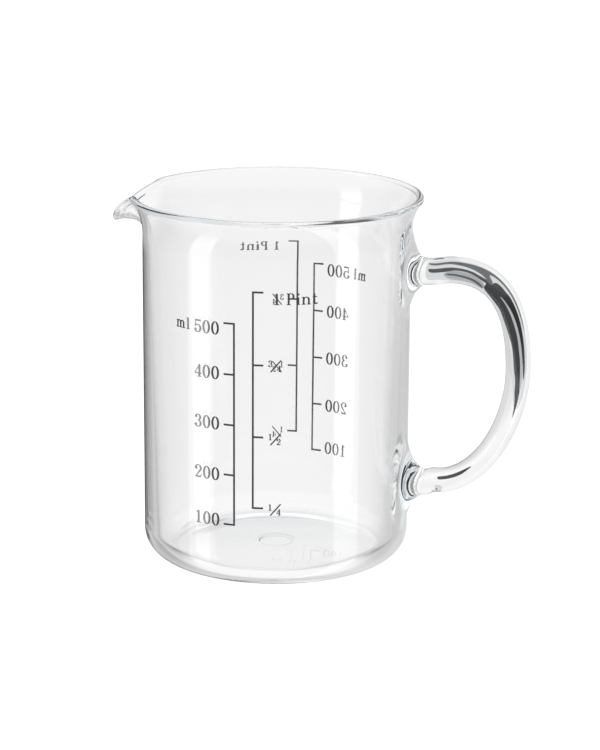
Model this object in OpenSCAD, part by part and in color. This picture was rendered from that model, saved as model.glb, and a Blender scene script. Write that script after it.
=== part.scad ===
// Glass measuring jug: a blown cylindrical vessel with a pulled beak spout, a pulled glass loop
// handle fused on by two gathers of glass, and enamel scales fired on two opposite sides.
// The origin is on the vessel's axis, in the plane that it stands on. +X points to the handle
// and -X to the spout. One pair of scales faces -Y, the other +Y.

/* [Vessel] */
// Outside diameter of the straight wall
body_d = 92; // [84:0.5:104]
// Height from the plane it stands on to the top of the rim
jug_h = 127.3; // [118:0.1:142]
// Thickness of the wall at the neck, where it is thinnest
wall_top = 1.9; // [1.6:0.1:2.6]
// Thickness of the wall just above the heel, where it is thickest
wall_low = 4.5; // [3:0.1:6]
// Thickness of the base
base_t = 3.2; // [2.5:0.1:5]
// Outside radius of the heel, where wall and base meet
heel_r = 9; // [6:0.5:12]
// Inside radius of the heel
bore_heel_r = 7; // [4:0.5:10]
// How far the middle of the underside is pushed up
foot_rise = 1.0; // [0.4:0.1:1.6]
// Width of the flat ring that the jug stands on
foot_w = 5; // [3:0.5:7]
// Diameter of the round mould mark in the middle of the underside
mould_mark_d = 11.6; // [8:0.2:16]
// Depth of the mould mark
mould_mark_deep = 0.3; // [0.2:0.1:0.6]

/* [Rim] */
// How far the rim stands out past the straight wall
flare_out = 4.2; // [3:0.1:5.5]
// Radius of the neck's outward curve
flare_r = 20; // [16:0.5:26]
// How much thicker the fire-polished bead is than the wall below it
bead_extra = 0.5; // [0.3:0.1:0.8]

/* [Spout] */
// Width of the rim that the spout takes up, measured across from shoulder to shoulder
spout_w = 37; // [30:0.5:44]
// How far the spout's lip stands out past the rim
spout_out = 8.0; // [5:0.1:10]
// How far the spout's lip droops below the rim
spout_drop = 9.8; // [7:0.1:11]
// Height of the wall below the rim that the spout is pulled from
spout_deep = 21; // [18:0.5:26]

/* [Handle] */
// Clear room for fingers between the wall and the handle
finger_room = 34.2; // [28:0.2:42]
// Thickness of the handle at its upper bend, seen from the side
handle_thick = 9.0; // [7:0.1:11]
// Thickness of the handle at its lower bend, where the glass is pulled thinner
handle_thin = 8.1; // [6:0.1:10]
// Width of the handle, seen from behind
handle_w = 12.5; // [10:0.1:16]
// How much thicker than average the handle is at its two ends
root_extra = 0.5; // [0:0.1:1.5]
// Depth of the handle's upper end below the top of the rim
upper_root_deep = 24.3; // [22:0.1:30]
// Height of the handle's lower end above the plane that the jug stands on
lower_root_h = 28.4; // [24:0.1:34]
// Depth of the handle's widest reach below the top of the rim
belly_deep = 56.8; // [48:0.2:66]
// How far the top of the loop rises above its upper end
crest_rise = 1.0; // [0.4:0.1:3]
// How far the crest of the loop stands out past the handle's upper end
crest_out = 9.5; // [7:0.1:13]

/* [Welds] */
// How far each gather stands out from the wall to the end of the handle
weld_out = 6.5; // [5:0.1:9]
// How far a gather's foot spreads past the handle, up and down the wall
weld_spread_h = 13.2; // [9:0.1:15]
// How far a gather's foot spreads past the handle to each side
weld_spread_w = 7.5; // [5:0.1:10]
// Thickness of the gather's edge where it ends on the wall
weld_edge = 0.3; // [0.2:0.05:0.6]

/* [Scales] */
// Distance between the two scales' upright lines, measured round the wall
scale_gap = 5.8; // [4:0.1:9]
// Length of the millilitre scale's marks
ml_mark_l = 4.0; // [3:0.1:6]
// Length of the pint scale's marks
pint_mark_l = 3.8; // [3:0.1:6]
// Width of every printed line
line_w = 0.65; // [0.4:0.05:1]
// Thickness of the fired enamel
enamel_t = 0.1; // [0.05:0.01:0.2]
// How far the pint scale is printed below its true place
pint_lag = 0.8; // [0:0.1:1.5]

/* [Hidden] */
$fn = 180;

// Edges of the cubes that hold a tenth of a litre and a quarter of an imperial pint
cube_tenth_litre = 46.416;
cube_quarter_pint = 52.179;
// One overrun for every cut
over = 1;

body_r = body_d / 2;
bead_r = (wall_top + bead_extra) / 2;
// The bead's centre line runs round the rim at this radius and height
rim_r = body_r + flare_out - bead_r;
rim_z = jug_h - bead_r;
// The neck's wall is bent round a circle whose centre lies outside it, at height flare_z
flare_mid_r = flare_r + wall_top / 2;
flare_turn = acos((body_r + flare_r - rim_r) / flare_mid_r);
flare_z = rim_z - flare_mid_r * sin(flare_turn);
flare_centre = [body_r + flare_r, flare_z];

// Thickness of the wall at height z: it thins evenly from the heel to the neck
function wall_at(z) = wall_top + (wall_low - wall_top) * (flare_z - z) / (flare_z - heel_r);
// Outside radius of the vessel at height z, with its heel and its neck
function outside_r(z) =
    z < heel_r ? body_r - heel_r + sqrt(pow(heel_r, 2) - pow(heel_r - z, 2)) :
    z < flare_z ? body_r :
    body_r + flare_r - sqrt(pow(flare_r, 2) - pow(z - flare_z, 2));

bore_heel_z = base_t + bore_heel_r;
bore_low_r = body_r - wall_at(bore_heel_z);
bore_top_r = body_r - wall_top;
bore_mean_r = (bore_low_r + bore_top_r) / 2;
// The underside rests on a flat ring and is dished inside it
dish_edge_r = body_r - heel_r - foot_w;
dish_r = (pow(dish_edge_r, 2) + pow(foot_rise, 2)) / (2 * foot_rise);

// The spout takes up this angle of the rim on each side of its middle line
spout_turn = asin(spout_w / (2 * rim_r));
spout_z = jug_h - spout_deep;
// Shapes of the lip: how sharply it comes to a point, and how its droop is shared out
lip_power = 3.2;
droop_power = 2.0;
droop_broad_share = 0.475;
droop_notch_share = 0.385;
// Slope of the lip's middle past the upright, and how far its curve follows each end
lip_turn = 100;
throat_share = 0.62;
tongue_share = 0.55;
// The pulled spout laps over the wall that is cut away for it: it stands this far proud of the
// wall's faces at the cut, and dives as far under them within this depth and this angle
lap_proud = 0.04;
lap_deep = 1.5;
lap_turn = 2;
// Sides of the rim's bead, columns round the spout, rows up each face, and points round its bead
bead_sides = 20;
spout_columns = 40;
spout_rows = 12;
bead_points = 10;

// Thickness of the handle on average, and where it meets its gathers
mean_thick = (handle_thick + handle_thin) / 2;
root_thick = mean_thick + root_extra;
// The handle's middle line: its ends, its crest, its widest reach and its lower bend
foot_bend_share = 0.42;
root_x = body_r + weld_out;
upper_root_z = jug_h - upper_root_deep;
crest = [root_x + crest_out, upper_root_z + crest_rise];
belly = [body_r + finger_room + mean_thick / 2, jug_h - belly_deep];
foot_bend = [root_x + crest_out * foot_bend_share, lower_root_h + crest_rise];
// How far each curve of the loop holds its course, as shares of its reach
root_hold_share = 0.4;
crest_hold_share = 0.71;
belly_up_share = 0.62;
belly_down_share = 0.465;
foot_hold_share = 0.57;
foot_ease_share = 0.5;
// Where along the handle it is thinnest, and how suddenly it swells towards its ends
thin_share = 0.78;
root_power = 12;
// Rings along each of its four curves, and sides round it
handle_steps = [8, 20, 24, 6];
handle_sides = 28;

// The gathers: how steeply they fall from the handle, how deep their blanks reach into the wall
gather_power = 2.6;
gather_sink = wall_top / 2;
gather_rings = 9;
gather_sides = 36;

// The scales count from the height at which the bore would start if it were a plain cylinder
// of its mean radius: the floor, raised for the rounded heel and for the bore's taper
half_bore_h = (flare_z - base_t) / 2;
heel_lift = (2 - PI / 2) * pow(bore_heel_r, 2) / bore_mean_r;
taper_lift = half_bore_h * (1 - pow((bore_low_r + bore_mean_r) / (2 * bore_mean_r), 2));
zero_z = base_t + heel_lift + taper_lift;
ml_step = pow(cube_tenth_litre, 3) / (PI * pow(bore_mean_r, 2));
pint_step = pow(cube_quarter_pint, 3) / (PI * pow(bore_mean_r, 2));
ml_marks = 5;
pint_marks = 4;
half_gap_turn = scale_gap / 2 / body_r * 180 / PI;

glass = [0.80, 0.86, 0.88, 0.45];
enamel = [0.16, 0.16, 0.18];

function mix(a, b, share) = a + (b - a) * share;
function unit(v) = v / norm(v);
function clamp01(v) = min(1, max(0, v));
function bezier(p, t) =
    pow(1 - t, 3) * p[0] + 3 * t * pow(1 - t, 2) * p[1] + 3 * t * t * (1 - t) * p[2] + pow(t, 3) * p[3];
function bezier_slope(p, t) =
    pow(1 - t, 2) * (p[1] - p[0]) + 2 * t * (1 - t) * (p[2] - p[1]) + t * t * (p[3] - p[2]);

// A closed solid through rings of equally many points. Each end is closed by strips that join
// the ring's points in pairs from its first and last point inwards.
module loft(rings) {
    n = len(rings[0]);
    last = (len(rings) - 1) * n;
    sides = [
        for (i = [0 : len(rings) - 2], j = [0 : n - 1])
            let (a = i * n + j, b = i * n + (j + 1) % n)
                each [[a, b, b + n], [a, b + n, a + n]]];
    ends = [
        for (j = [0 : floor(n / 2) - 2])
            let (a = j, b = j + 1, c = n - 2 - j, d = n - 1 - j)
                each [[d, c, b], [d, b, a], [last + a, last + b, last + c], [last + a, last + c, last + d]]];
    polyhedron(points = [for (ring = rings) each ring], faces = concat(sides, ends));
}

// The vessel's turned part

module bore_profile() {
    polygon([
        [0, base_t],
        [bore_low_r - bore_heel_r, base_t],
        [bore_low_r - bore_heel_r, bore_heel_z],
        [bore_low_r, bore_heel_z],
        [bore_top_r, flare_z],
        [bore_top_r, flare_z + over],
        [0, flare_z + over]]);
    translate([bore_low_r - bore_heel_r, bore_heel_z]) circle(bore_heel_r);
}

module neck_profile() {
    reach = 2 * flare_mid_r;
    intersection() {
        translate(flare_centre) difference() {
            circle(flare_r + wall_top);
            circle(flare_r);
        }
        polygon([
            flare_centre,
            flare_centre + reach * [-1, 0],
            flare_centre + reach * [-cos(flare_turn), sin(flare_turn)]]);
    }
    polygon([
        for (k = [0 : bead_sides - 1])
            [rim_r, rim_z] + bead_r * [cos(k * 360 / bead_sides), sin(k * 360 / bead_sides)]]);
}

module body_profile() {
    difference() {
        union() {
            translate([0, heel_r]) square([body_r, flare_z - heel_r]);
            square([body_r - heel_r, heel_r]);
            translate([body_r - heel_r, heel_r]) circle(heel_r);
        }
        bore_profile();
        translate([0, foot_rise - dish_r]) circle(dish_r);
        translate([0, -over]) square([mould_mark_d / 2, over + foot_rise + mould_mark_deep]);
    }
}

module turned_wall() {
    rotate_extrude() {
        body_profile();
        neck_profile();
    }
}

// The spout: the neck's section is pulled out and down, most at the middle line

// How far the lip is pulled out, and how far it droops, at an angle from the middle line
function lip_share(turn) = pow(max(0, 1 - pow(turn / spout_turn, 2)), lip_power);
function droop_share(turn) =
    let (u = turn / spout_turn, g = max(0, 1 - u * u), notch = exp(-pow(u / droop_notch_share, 2)) * g)
        droop_broad_share * pow(g, droop_power) + (1 - droop_broad_share) * notch;

neck_arc = flare_mid_r * flare_turn * PI / 180;
upright_share = (flare_z - spout_z) / (flare_z - spout_z + neck_arc);

// A point of the plain neck at share v of its way up: side 0 is the outer face, 1 the inner
function plain_point(v, side) =
    v < upright_share ?
        let (z = mix(spout_z, flare_z, v / upright_share))
            [body_r - side * wall_at(z), z] :
        let (turn = flare_turn * (v - upright_share) / (1 - upright_share), r = flare_r + side * wall_top)
            flare_centre + r * [-cos(turn), sin(turn)];

// The same point of the pulled neck, whose middle line is one curve from the wall to the lip
function lip_middle(turn) =
    [rim_r + spout_out * lip_share(turn), rim_z - spout_drop * droop_share(turn)];
function lip_heading(turn) =
    let (slope = mix(flare_turn, lip_turn, lip_share(turn))) [sin(slope), cos(slope)];
function pulled_curve(turn) =
    let (
        start = [body_r - wall_at(spout_z) / 2, spout_z],
        end = lip_middle(turn),
        reach = norm(end - start))
        [start, start + [0, reach * throat_share], end - reach * tongue_share * lip_heading(turn), end];
function pulled_point(turn, v, side) =
    let (
        curve = pulled_curve(turn),
        along = unit(bezier_slope(curve, v)),
        thick = mix(wall_at(spout_z), wall_top, v))
    bezier(curve, v) + (0.5 - side) * thick * [along[1], -along[0]];
function neck_point(turn, v, side) =
    mix(plain_point(v, side), pulled_point(turn, v, side), sqrt(lip_share(turn)));

// How far the section stands proud of the wall's faces: less than nothing where it lies under them
function proud(turn) = lap_proud * (1 - 2 * clamp01((abs(turn) - spout_turn) / lap_turn));
function face_point(turn, v, side) =
    let (near = neck_point(turn, v, side), far = neck_point(turn, v, 1 - side))
        near + proud(turn) * unit(near - far);
function foot_point(side) =
    let (z = spout_z - lap_deep) [body_r - side * wall_at(z) + (2 * side - 1) * lap_proud, z];
function bead_point(turn, k) =
    let (
        along = unit(mix([sin(flare_turn), cos(flare_turn)], lip_heading(turn), sqrt(lip_share(turn)))),
        across = [along[1], -along[0]],
        start = -acos(wall_top / 2 / bead_r),
        bend = mix(start, 180 - start, k / (bead_points - 1)))
    lip_middle(turn) + (bead_r + proud(turn)) * (cos(bend) * across + sin(bend) * along);

function spout_section(turn) = concat(
    [foot_point(0)],
    [for (i = [0 : spout_rows - 1]) face_point(turn, i / spout_rows, 0)],
    [for (k = [0 : bead_points - 1]) bead_point(turn, k)],
    [for (i = [spout_rows - 1 : -1 : 0]) face_point(turn, i / spout_rows, 1)],
    [foot_point(1)]);

module pulled_spout() {
    reach = spout_turn + lap_turn;
    turns = concat(
        -reach, [for (i = [0 : spout_columns]) mix(-spout_turn, spout_turn, i / spout_columns)], reach);
    loft([
        for (turn = turns)
            [for (p = spout_section(turn)) [-p[0] * cos(turn), -p[0] * sin(turn), p[1]]]]);
}

module vessel() color(glass) {
    difference() {
        turned_wall();
        rotate([0, 0, 180 - spout_turn]) rotate_extrude(angle = 2 * spout_turn)
            translate([body_r / 2, spout_z]) square([body_r, spout_deep + over]);
    }
    pulled_spout();
}

// The handle

handle_curves = [
    [[root_x, upper_root_z], [mix(root_x, crest[0], root_hold_share), upper_root_z],
        [mix(crest[0], root_x, root_hold_share), crest[1]], crest],
    [crest, [mix(crest[0], belly[0], crest_hold_share), crest[1]],
        [belly[0], mix(belly[1], crest[1], belly_up_share)], belly],
    [belly, [belly[0], mix(belly[1], foot_bend[1], belly_down_share)],
        [mix(foot_bend[0], belly[0], foot_hold_share), foot_bend[1]], foot_bend],
    [foot_bend, [mix(foot_bend[0], root_x, foot_ease_share), foot_bend[1]],
        [mix(foot_bend[0], root_x, foot_ease_share), lower_root_h], [root_x, lower_root_h]]];
handle_stations = [
    for (c = [0 : len(handle_curves) - 1], i = [(c == 0 ? 0 : 1) : handle_steps[c]])
        let (t = i / handle_steps[c])
            [bezier(handle_curves[c], t), unit(bezier_slope(handle_curves[c], t))]];

// Thickness of the handle at a share of its length, seen from the side
function handle_depth(share) =
    let (
        plain = mix(handle_thick, handle_thin, (1 - cos(180 * min(1, share / thin_share))) / 2),
        near_root = pow(abs(2 * share - 1), root_power))
    mix(plain, root_thick, near_root);

module handle() color(glass) {
    count = len(handle_stations);
    loft([
        for (i = [0 : count - 1])
            let (
                middle = handle_stations[i][0],
                along = handle_stations[i][1],
                across = [-along[1], along[0]],
                depth = handle_depth(i / (count - 1)))
            [for (j = [0 : handle_sides - 1])
                let (
                    bend = (j + 0.5) * 360 / handle_sides,
                    p = middle + depth / 2 * sin(bend) * across)
                [p[0], handle_w / 2 * cos(bend), p[1]]]]);
}

// The gathers: each falls from the handle's end in a hollow curve and follows the wall round

function wall_x(y, z, sink) = sqrt(pow(outside_r(z) - sink, 2) - y * y);
function gather_foot(root_z, bend, share) = [
    cos(bend) * (handle_w / 2 + weld_spread_w * share),
    root_z + sin(bend) * (root_thick / 2 + weld_spread_h * share)];
function gather_ring(root_z, share, sink) = [
    for (j = [0 : gather_sides - 1])
        let (
            bend = (j + 0.5) * 360 / gather_sides,
            rise = root_x - weld_edge - wall_x(gather_foot(root_z, bend, 0)[0], root_z, 0),
            foot = gather_foot(root_z, bend, share),
            face_x = wall_x(foot[0], foot[1], 0) + weld_edge + rise * pow(1 - share, gather_power))
        [sink > 0 ? wall_x(foot[0], foot[1], sink) : share > 0 ? face_x : root_x, foot[0], foot[1]]];

module gather(root_z) {
    difference() {
        loft(concat(
            [for (i = [0 : gather_rings]) gather_ring(root_z, i / gather_rings, 0)],
            [for (i = [gather_rings : -1 : 0]) gather_ring(root_z, i / gather_rings, gather_sink)]));
        turned_wall();
    }
}

module upper_handle_weld() color(glass) gather(upper_root_z);

module lower_handle_weld() color(glass) gather(lower_root_h);

// The scales: an upright line from the lowest mark to the highest, and the marks themselves.
// Marks that would stand above the straight wall are left off.

module enamel_patch(turn, width_turn, low, high) {
    rotate([0, 0, turn]) rotate_extrude(angle = width_turn)
        translate([body_r, low]) square([enamel_t, high - low]);
}

// side is -1 for a scale whose marks run clockwise from its line, seen from above, and 1 otherwise
module scale_print(turn, side, step, lag, marks, mark_l) {
    fitting = [for (k = [1 : marks]) if (zero_z + k * step - lag + line_w < flare_z) zero_z + k * step - lag];
    line_turn = line_w / body_r * 180 / PI;
    mark_turn = mark_l / body_r * 180 / PI;
    start = turn + side * half_gap_turn;
    for (z = fitting)
        enamel_patch(side > 0 ? start : start - mark_turn, mark_turn, z - line_w / 2, z + line_w / 2);
    enamel_patch(side > 0 ? start : start - line_turn, line_turn,
        fitting[0] - line_w / 2, fitting[len(fitting) - 1] + line_w / 2);
}

module millilitre_scale(turn) color(enamel) scale_print(turn, -1, ml_step, 0, ml_marks, ml_mark_l);

module pint_scale(turn) color(enamel) scale_print(turn, 1, pint_step, pint_lag, pint_marks, pint_mark_l);

module front_millilitre_scale() millilitre_scale(-90);

module front_pint_scale() pint_scale(-90);

module rear_millilitre_scale() millilitre_scale(90);

module rear_pint_scale() pint_scale(90);

vessel();
handle();
upper_handle_weld();
lower_handle_weld();
front_millilitre_scale();
front_pint_scale();
rear_millilitre_scale();
rear_pint_scale();
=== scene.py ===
"""A clear glass measuring jug on a white table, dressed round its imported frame.

Sizes are in millimetres until a mesh is made. The origin is on the vessel's axis, in the plane that
it stands on. +X points to the handle, -X to the spout, -Y to the scales of the photographed side.
"""

import math

import bmesh
import bpy
import numpy as np
from mathutils import Matrix, Vector
from mathutils.geometry import tessellate_polygon


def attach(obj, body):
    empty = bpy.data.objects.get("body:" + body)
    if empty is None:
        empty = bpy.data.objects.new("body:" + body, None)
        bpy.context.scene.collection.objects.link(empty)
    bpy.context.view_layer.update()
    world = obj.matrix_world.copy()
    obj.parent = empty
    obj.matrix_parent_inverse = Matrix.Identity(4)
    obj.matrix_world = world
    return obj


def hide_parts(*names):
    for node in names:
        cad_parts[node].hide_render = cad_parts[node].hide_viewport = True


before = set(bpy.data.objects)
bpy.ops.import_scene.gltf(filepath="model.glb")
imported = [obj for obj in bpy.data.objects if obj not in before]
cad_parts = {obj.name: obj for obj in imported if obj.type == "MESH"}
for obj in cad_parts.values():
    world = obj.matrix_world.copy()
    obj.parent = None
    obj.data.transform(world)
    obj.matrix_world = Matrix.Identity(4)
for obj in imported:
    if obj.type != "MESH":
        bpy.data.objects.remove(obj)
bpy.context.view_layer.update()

MM = 0.001

# Driving sizes of the glass, the same as in the construction, but for WELD_SPREAD_W: the gathers' feet are
# narrower here, so that they run into the wall without a fold
BODY_R = 46.0
JUG_H = 127.3
WALL_TOP, WALL_LOW = 1.9, 4.5
BASE_T, HEEL_R, BORE_HEEL_R = 3.2, 9.0, 7.0
FOOT_RISE, FOOT_W = 1.0, 5.0
MARK_R, MARK_DEEP, MARK_ROUND = 5.8, 0.3, 0.35
FLARE_OUT, FLARE_R, BEAD_EXTRA = 4.2, 20.0, 0.5
SPOUT_W, SPOUT_OUT, SPOUT_DROP, SPOUT_DEEP = 37.0, 8.0, 9.8, 21.0
FINGER_ROOM, HANDLE_THICK, HANDLE_THIN, HANDLE_W, ROOT_EXTRA = 34.2, 9.0, 8.1, 12.5, 0.5
UPPER_ROOT_DEEP, LOWER_ROOT_H, BELLY_DEEP = 24.3, 28.4, 56.8
CREST_RISE, CREST_OUT = 1.0, 9.5
WELD_OUT, WELD_SPREAD_H, WELD_SPREAD_W = 6.5, 13.2, 3.6

BEAD_R = (WALL_TOP + BEAD_EXTRA) / 2
RIM_R = BODY_R + FLARE_OUT - BEAD_R
RIM_Z = JUG_H - BEAD_R
FLARE_MID_R = FLARE_R + WALL_TOP / 2
FLARE_TURN = math.acos((BODY_R + FLARE_R - RIM_R) / FLARE_MID_R)
FLARE_Z = RIM_Z - FLARE_MID_R * math.sin(FLARE_TURN)
FLARE_CENTRE = np.array([BODY_R + FLARE_R, FLARE_Z])
SPOUT_TURN = math.asin(SPOUT_W / (2 * RIM_R))
SPOUT_Z = JUG_H - SPOUT_DEEP
ROOT_X = BODY_R + WELD_OUT
UPPER_ROOT_Z = JUG_H - UPPER_ROOT_DEEP
MEAN_THICK = (HANDLE_THICK + HANDLE_THIN) / 2
ROOT_THICK = MEAN_THICK + ROOT_EXTRA

# Shape of the pulled spout
LIP_POWER, DROOP_POWER, DROOP_BROAD, DROOP_NOTCH = 3.2, 2.0, 0.475, 0.385
LIP_TURN, THROAT, TONGUE = math.radians(100), 0.62, 0.55

# Shape of the handle: how far each curve of the loop holds its course, as shares of its reach
ROOT_HOLD, CREST_HOLD, BELLY_UP, BELLY_DOWN = 0.4, 0.71, 0.62, 0.465
FOOT_BEND, FOOT_HOLD, FOOT_EASE = 0.42, 0.57, 0.5
THIN_SHARE, ROOT_POWER = 0.78, 12
CURVE_STEPS = (12, 34, 38, 10)

# Shape of the gathers: how they fall off towards their edge, and the shelf on top of the upper one
GATHER_POWER, SPREAD_POWER = 1.8, 1.5
SHELF_SHARE, SHELF_POWER, SLOPE_SPAN, SLOPE_POWER = 0.45, 9, 1.6, 1.2
GATHER_STEPS, BLEND_STEPS = 26, 3


def mix(a, b, share):
    return a + (b - a) * share


def unit(v):
    return v / np.linalg.norm(v)


def bezier(p, t):
    return (1 - t) ** 3 * p[0] + 3 * t * (1 - t) ** 2 * p[1] + 3 * t * t * (1 - t) * p[2] + t**3 * p[3]


def bezier_slope(p, t):
    return (1 - t) ** 2 * (p[1] - p[0]) + 2 * t * (1 - t) * (p[2] - p[1]) + t * t * (p[3] - p[2])


def wall_at(z):
    return WALL_TOP + (WALL_LOW - WALL_TOP) * (FLARE_Z - z) / (FLARE_Z - HEEL_R)


def outside_r(z):
    if z < HEEL_R:
        return BODY_R - HEEL_R + math.sqrt(HEEL_R**2 - (HEEL_R - z) ** 2)
    if z < FLARE_Z:
        return BODY_R
    return BODY_R + FLARE_R - math.sqrt(FLARE_R**2 - (z - FLARE_Z) ** 2)


NECK_ARC = FLARE_MID_R * FLARE_TURN
UPRIGHT = (FLARE_Z - SPOUT_Z) / (FLARE_Z - SPOUT_Z + NECK_ARC)


def lip_share(turn):
    return max(0.0, 1 - (turn / SPOUT_TURN) ** 2) ** LIP_POWER


def droop_share(turn):
    u = turn / SPOUT_TURN
    g = max(0.0, 1 - u * u)
    return DROOP_BROAD * g**DROOP_POWER + (1 - DROOP_BROAD) * math.exp(-((u / DROOP_NOTCH) ** 2)) * g


def plain_point(v, side):
    """A point of the plain neck at share v of its way up: side 0 is its outer face, 1 its inner."""
    if v < UPRIGHT:
        z = mix(SPOUT_Z, FLARE_Z, v / UPRIGHT)
        return np.array([BODY_R - side * wall_at(z), z])
    turn = FLARE_TURN * (v - UPRIGHT) / (1 - UPRIGHT)
    r = FLARE_R + side * WALL_TOP
    return FLARE_CENTRE + r * np.array([-math.cos(turn), math.sin(turn)])


def lip_middle(turn):
    return np.array([RIM_R + SPOUT_OUT * lip_share(turn), RIM_Z - SPOUT_DROP * droop_share(turn)])


def lip_heading(turn):
    slope = mix(FLARE_TURN, LIP_TURN, lip_share(turn))
    return np.array([math.sin(slope), math.cos(slope)])


def pulled_point(turn, v, side):
    start, end = np.array([BODY_R - wall_at(SPOUT_Z) / 2, SPOUT_Z]), lip_middle(turn)
    reach = np.linalg.norm(end - start)
    curve = [start, start + np.array([0, reach * THROAT]), end - reach * TONGUE * lip_heading(turn), end]
    along = unit(bezier_slope(curve, v))
    thick = mix(wall_at(SPOUT_Z), WALL_TOP, v)
    return bezier(curve, v) + (0.5 - side) * thick * np.array([along[1], -along[0]])


def neck_point(turn, v, side):
    share = math.sqrt(lip_share(turn))
    plain = plain_point(v, side)
    return plain if share == 0 else mix(plain, pulled_point(turn, v, side), share)


def bead_point(turn, k, count):
    plain = np.array([math.sin(FLARE_TURN), math.cos(FLARE_TURN)])
    along = unit(mix(plain, lip_heading(turn), math.sqrt(lip_share(turn))))
    across = np.array([along[1], -along[0]])
    start = -math.acos(WALL_TOP / 2 / BEAD_R)
    bend = mix(start, math.pi - start, k / (count - 1))
    return lip_middle(turn) + BEAD_R * (math.cos(bend) * across + math.sin(bend) * along)


def v_of_outer_z(z):
    """The share v at which the plain neck's outer face has this height."""
    if z < FLARE_Z:
        return UPRIGHT * (z - SPOUT_Z) / (FLARE_Z - SPOUT_Z)
    return UPRIGHT + (1 - UPRIGHT) * math.asin((z - FLARE_Z) / FLARE_R) / FLARE_TURN


# Grid of the vessel's skin: columns round it, rows along its section

PATCH_HALF_TURN = math.radians(19)
PATCH_HALF_H = 18.5
PATCH_COLUMNS, PATCH_ROWS = 28, 34
SPOUT_COLUMNS, SPOUT_MARGIN = 80, 0.03
PLAIN_COLUMNS = 180
BETWEEN_ROWS, NECK_ROWS, THROAT_ROWS, BORE_ROWS = 16, 5, 24, 14
HEEL_ROWS, BORE_HEEL_ROWS = 18, 14
BEAD_POINTS = 13
PATCHES = (LOWER_ROOT_H, UPPER_ROOT_Z)
# Radii of the rings in the mould mark, on the dish round it and on the bore's floor
MARK_RINGS, DISH_RINGS, FLOOR_RINGS = (1.5, 3.5), (9, 13, 18, 23, 27, 30), (30, 24, 18, 12, 6, 2)
# Small steps at the mould mark's edge and the standing ring, and where the two heels begin, in radians
MARK_STEP, MARK_STEP_DEEP = 0.1, 0.07
DISH_INSET, FOOT_INSET, HEEL_INSET = 0.6, 0.5, 0.8
HEEL_FROM, BORE_HEEL_FROM = 0.09, 0.1



def column_turns():
    """Angles round the vessel, from the handle: fine columns at the handle and the spout."""
    spout_from = math.pi - SPOUT_TURN - SPOUT_MARGIN
    turns = list(np.linspace(-PATCH_HALF_TURN, PATCH_HALF_TURN, PATCH_COLUMNS + 1))
    side = list(np.linspace(PATCH_HALF_TURN, spout_from, PLAIN_COLUMNS + 1))[1:]
    spout = list(np.linspace(spout_from, 2 * math.pi - spout_from, SPOUT_COLUMNS + 1))[1:]
    back = [2 * math.pi - t for t in side[::-1]][1:]
    return np.array(turns + side + spout + back)


def fillet(centre, radius, start, end, count):
    return [
        (centre[0] + radius * math.cos(a), centre[1] + radius * math.sin(a))
        for a in np.linspace(start, end, count)
    ]


def underside():
    """The section below the wall, from the middle of the underside out to the top of the heel."""
    dish_edge = BODY_R - HEEL_R - FOOT_W
    dish_r = (dish_edge**2 + FOOT_RISE**2) / (2 * FOOT_RISE)

    def dish(r):
        return FOOT_RISE - dish_r + math.sqrt(dish_r**2 - r * r)

    points = [(r, FOOT_RISE + MARK_DEEP) for r in (*MARK_RINGS, MARK_R - MARK_ROUND)]
    points.append((MARK_R - MARK_STEP, FOOT_RISE + MARK_DEEP - MARK_STEP_DEEP))
    points.append((MARK_R + MARK_STEP, dish(MARK_R) + MARK_STEP_DEEP))
    points += [(r, dish(r)) for r in (MARK_R + MARK_ROUND, *DISH_RINGS, dish_edge - DISH_INSET)]
    points += [(dish_edge + FOOT_INSET, 0.0), (BODY_R - HEEL_R - HEEL_INSET, 0.0)]
    points += fillet((BODY_R - HEEL_R, HEEL_R), HEEL_R, -math.pi / 2 + HEEL_FROM, 0, HEEL_ROWS)
    return points


def wall_levels():
    """Heights of the rows up the outer wall, with even rows across the two patches."""
    low_from, low_to = LOWER_ROOT_H - PATCH_HALF_H, LOWER_ROOT_H + PATCH_HALF_H
    high_from, high_to = UPPER_ROOT_Z - PATCH_HALF_H, UPPER_ROOT_Z + PATCH_HALF_H
    levels = list(np.linspace(low_from, low_to, PATCH_ROWS + 1))
    levels += list(np.linspace(low_to, high_from, BETWEEN_ROWS))[1:]
    levels += list(np.linspace(high_from, high_to, PATCH_ROWS + 1))[1:]
    return levels


def inner_levels():
    """Heights of the rows down the bore, below the neck."""
    return list(np.linspace(SPOUT_Z, BASE_T + BORE_HEEL_R, BORE_ROWS))[1:]


def skin_section(turn):
    """The closed section at one angle, from the middle of the underside round to the bore's floor."""
    side = min(abs(turn % (2 * math.pi) - math.pi), SPOUT_TURN)
    points = [np.array(p) for p in underside()]
    for z in wall_levels():
        if z < SPOUT_Z:
            points.append(np.array([BODY_R, z]))
        else:
            points.append(neck_point(side, v_of_outer_z(z), 0))
    top_v = v_of_outer_z(wall_levels()[-1])
    for v in np.linspace(top_v, 1, NECK_ROWS)[1:-1]:
        points.append(neck_point(side, v, 0))
    points += [bead_point(side, k, BEAD_POINTS) for k in range(BEAD_POINTS)]
    for v in np.linspace(1, 0, THROAT_ROWS)[1:]:
        points.append(neck_point(side, v, 1))
    points += [np.array([BODY_R - wall_at(z), z]) for z in inner_levels()]
    low_r = BODY_R - wall_at(BASE_T + BORE_HEEL_R)
    centre = (low_r - BORE_HEEL_R, BASE_T + BORE_HEEL_R)
    bore_heel = fillet(centre, BORE_HEEL_R, -BORE_HEEL_FROM, -math.pi / 2, BORE_HEEL_ROWS)
    points += [np.array(p) for p in bore_heel]
    points += [np.array([r, BASE_T]) for r in FLOOR_RINGS]
    return points


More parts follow.
